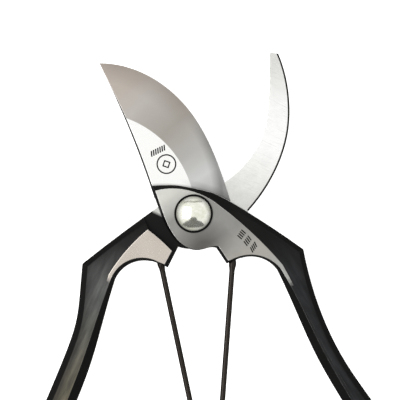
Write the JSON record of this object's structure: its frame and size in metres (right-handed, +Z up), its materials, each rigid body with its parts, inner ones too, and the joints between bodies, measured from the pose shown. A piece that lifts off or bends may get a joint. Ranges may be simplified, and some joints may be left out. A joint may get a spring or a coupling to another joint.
{
  "type": "bypass pruning shears",
  "caption": "Forged bypass pruning shears standing open: broad cutting blade, hooked counter blade, domed pivot bolt, black handles, wire spring and wire catch.",
  "frame": {"origin": "pivot axis at the flat lower end of the pivot bolt, the plane the tool lies on", "axes": "+Z up along the pivot axis, +Y from the pivot towards the open blades, midway between them, +X towards the hook"},
  "size_m": [0.153, 0.1715, 0.0178],
  "materials": {
    "blade_steel": "satin ground flats, black enamel on the forged handle",
    "hook_steel": "satin ground flats, black enamel on the forged handle",
    "nickel": "polished nickel",
    "black_washer": "blackened",
    "lock_plate": "bright zinc",
    "nut_steel": "bright zinc",
    "spring_wire": "oil-blackened spring wire",
    "catch_wire": "bright wire"
  },
  "bodies": {
    "hook_half": {"hook_half": "hook_steel", "pivot_bolt": "nickel", "head_washer": "black_washer", "lock_washer": "lock_plate", "pivot_nut": "nut_steel"},
    "blade_half": {"blade_half": "blade_steel"},
    "spring_left": {"spring_leg_left": "spring_wire", "spring_coil": "spring_wire"},
    "spring_right": {"spring_leg_right": "spring_wire"},
    "catch": {"wire_catch": "catch_wire"}
  },
  "joints": [
    {"name": "main_pivot", "type": "hinge", "parent": "hook_half", "child": "blade_half", "pos_m": [0, 0, 0.0096], "axis": [0, 0, -1], "range_deg": [0, 58], "stiffness_Nm_per_rad": 0.9, "springref_deg": -20.05},
    {"name": "spring_left_swing", "type": "hinge", "parent": "hook_half", "child": "spring_left", "pos_m": [-0.0136, -0.0139, 0.0096], "axis": [0, 0, -1], "range_deg": [0, 37.5]},
    {"name": "spring_right_swing", "type": "hinge", "parent": "spring_left", "child": "spring_right", "pos_m": [-0.0006, -0.0738, 0.0096], "axis": [0, 0, 1], "range_deg": [0, 17.5], "deforming": ["spring_coil"]},
    {"name": "catch_swing", "type": "hinge", "parent": "hook_half", "child": "catch", "pos_m": [-0.07114, -0.10234, 0.0096], "axis": [0, 0, 1], "range_deg": [0, 245.97]}
  ],
  "couplings": [
    {"joint": "spring_left_swing", "follows": "main_pivot", "ratio": 0.6315},
    {"joint": "spring_right_swing", "follows": "main_pivot", "ratio": 0.2897}
  ]
}
